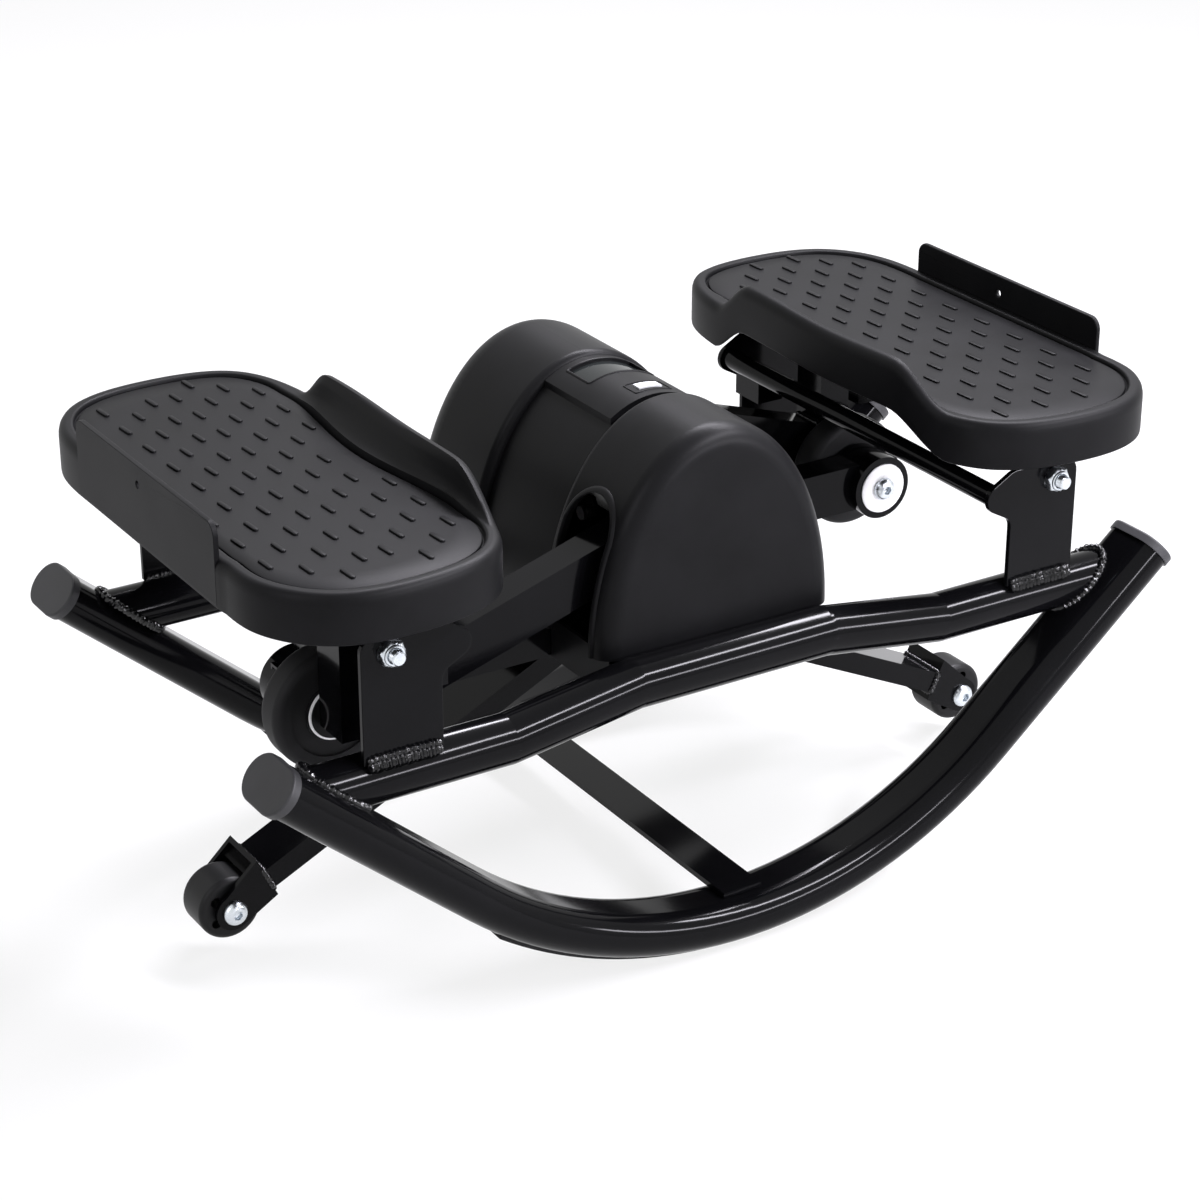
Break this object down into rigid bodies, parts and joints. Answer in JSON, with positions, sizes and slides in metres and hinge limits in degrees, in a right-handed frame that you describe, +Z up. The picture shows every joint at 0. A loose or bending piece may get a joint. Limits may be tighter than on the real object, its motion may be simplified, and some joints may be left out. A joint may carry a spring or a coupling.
{
  "type": "stepping trainer",
  "caption": "Low stepping trainer on curved rocker tubes, with tilting foot pedals, a domed housing with a step counter, and small side wheels.",
  "frame": {"origin": "on the floor under the middle of the machine, where the rockers rest", "axes": "+X along the rockers to the right pedal, -Y to the front, +Z up"},
  "size_m": [0.708, 0.3966, 0.361],
  "materials": {
    "black_enamel": "gloss",
    "housing_plastic": "satin",
    "pedal_plastic": "matte",
    "cap_plastic": "matte",
    "black_rubber": "matte",
    "zinc": "plated",
    "white_nylon": "satin",
    "grey_key": "satin",
    "display_glass": "gloss",
    "circuit_board": "satin"
  },
  "bodies": {
    "frame": {"back_chord": "black_enamel", "back_grip_strip": "black_rubber", "back_left_bracket": "black_enamel", "back_left_rocker_cap": "cap_plastic", "back_right_bracket": "black_enamel", "back_right_rocker_cap": "cap_plastic", "back_rocker": "black_enamel", "balance_bracket": "black_enamel", "balance_pin": "zinc", "base_plate": "black_enamel", "base_screws": "zinc", "base_tray": "housing_plastic", "counter_board": "circuit_board", "counter_cell": "zinc", "display_bezel": "housing_plastic", "display_window": "display_glass", "floor_crossbar": "black_enamel", "front_chord": "black_enamel", "front_grip_strip": "black_rubber", "front_left_bracket": "black_enamel", "front_left_rocker_cap": "cap_plastic", "front_right_bracket": "black_enamel", "front_right_rocker_cap": "cap_plastic", "front_rocker": "black_enamel", "housing": "housing_plastic", "left_fork": "black_enamel", "left_hinge_bolt": "zinc", "left_roller_beam": "black_enamel", "left_stop_block": "black_enamel", "left_strut": "black_enamel", "left_tie_rod": "black_enamel", "lock_nuts": "zinc", "motion_sensor": "cap_plastic", "nylon_washers": "white_nylon", "right_fork": "black_enamel", "right_hinge_bolt": "zinc", "right_roller_beam": "black_enamel", "right_stop_block": "black_enamel", "right_strut": "black_enamel", "right_tie_rod": "black_enamel", "roller_bolts": "zinc", "wheel_axle_bolts": "zinc"},
    "left_pedal_lever": {"left_lever": "black_enamel", "left_pedal": "pedal_plastic", "left_pedal_mat": "black_rubber", "left_pedal_screws": "zinc"},
    "right_pedal_lever": {"right_lever": "black_enamel", "right_pedal": "pedal_plastic", "right_pedal_mat": "black_rubber", "right_pedal_screws": "zinc"},
    "balance": {"balance_beam": "black_enamel", "balance_pads": "black_rubber", "sensor_magnet": "zinc"},
    "left_roller": {"left_roller_tyre": "black_rubber", "left_roller_hub": "cap_plastic"},
    "right_roller": {"right_roller_tyre": "black_rubber", "right_roller_hub": "cap_plastic"},
    "left_wheel": {"left_side_wheel": "cap_plastic"},
    "right_wheel": {"right_side_wheel": "cap_plastic"},
    "key": {"mode_key": "grey_key"}
  },
  "joints": [
    {"name": "left_pedal_hinge", "type": "hinge", "parent": "frame", "child": "left_pedal_lever", "pos_m": [-0.258, 0, 0.2775], "axis": [0, 1, 0], "range_deg": [-5, 5]},
    {"name": "right_pedal_hinge", "type": "hinge", "parent": "frame", "child": "right_pedal_lever", "pos_m": [0.258, 0, 0.2775], "axis": [0, 1, 0], "range_deg": [-5, 5]},
    {"name": "balance_rock", "type": "hinge", "parent": "frame", "child": "balance", "pos_m": [0, 0, 0.255], "axis": [1, 0, 0], "range_deg": [-12.45, 12.45]},
    {"name": "left_roller_spin", "type": "hinge", "parent": "frame", "child": "left_roller", "pos_m": [-0.257, -0.073, 0.2025], "axis": [0, 1, 0], "continuous": true},
    {"name": "right_roller_spin", "type": "hinge", "parent": "frame", "child": "right_roller", "pos_m": [0.257, 0.073, 0.2025], "axis": [0, 1, 0], "continuous": true},
    {"name": "left_wheel_spin", "type": "hinge", "parent": "frame", "child": "left_wheel", "pos_m": [-0.305, 0, 0.0376], "axis": [0, 1, 0], "continuous": true},
    {"name": "right_wheel_spin", "type": "hinge", "parent": "frame", "child": "right_wheel", "pos_m": [0.305, 0, 0.0376], "axis": [0, 1, 0], "continuous": true},
    {"name": "key_press", "type": "slide", "parent": "frame", "child": "key", "axis": [0, 0, -1], "range_m": [0, 0.0015], "stiffness_N_per_m": 300}
  ],
  "couplings": [
    {"joint": "right_pedal_hinge", "follows": "left_pedal_hinge", "ratio": 1},
    {"joint": "balance_rock", "follows": "left_pedal_hinge", "ratio": 2.48}
  ]
}
